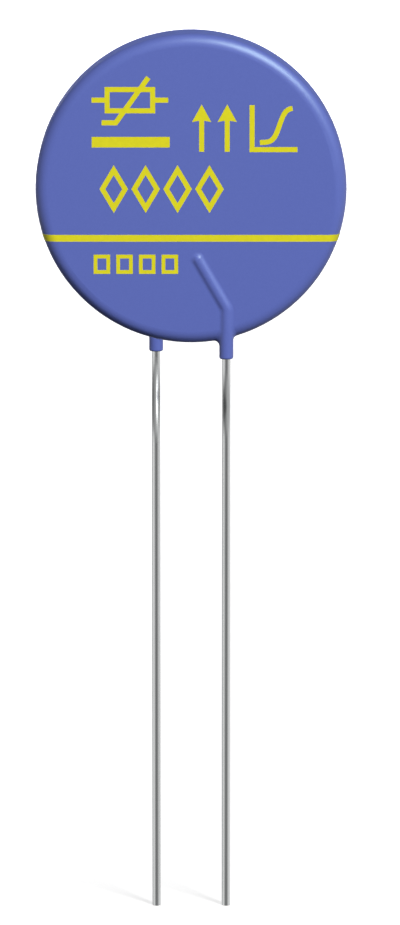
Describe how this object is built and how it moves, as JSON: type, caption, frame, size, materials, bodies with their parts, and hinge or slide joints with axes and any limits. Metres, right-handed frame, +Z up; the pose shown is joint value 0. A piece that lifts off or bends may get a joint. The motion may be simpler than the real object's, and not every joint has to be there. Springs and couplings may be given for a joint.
{
  "type": "ptc thermistor",
  "caption": "Round ceramic disc thermistor in a dipped blue resin coating, with straight tinned wire leads for a circuit board.",
  "frame": {"origin": "on the plane of the leads' cut ends, midway between the two leads", "axes": "+Z up along the leads to the disc, +X from the rear lead towards the front lead, -Y out of the front face"},
  "size_m": [0.022, 0.0048, 0.0633],
  "materials": {
    "dipped_resin": "blue dipped resin, satin gloss",
    "sintered_ceramic": "dark grey sintered ceramic, matt",
    "fired_silver": "fired silver film, dull",
    "solder": "tin solder, smooth",
    "tinned_wire": "bright tinned copper wire"
  },
  "bodies": {
    "root": {"resin_coating": "dipped_resin", "ceramic_disc": "sintered_ceramic", "front_electrode": "fired_silver", "rear_electrode": "fired_silver", "front_solder_joint": "solder", "rear_solder_joint": "solder", "front_lead": "tinned_wire", "rear_lead": "tinned_wire"}
  },
  "joints": []
}
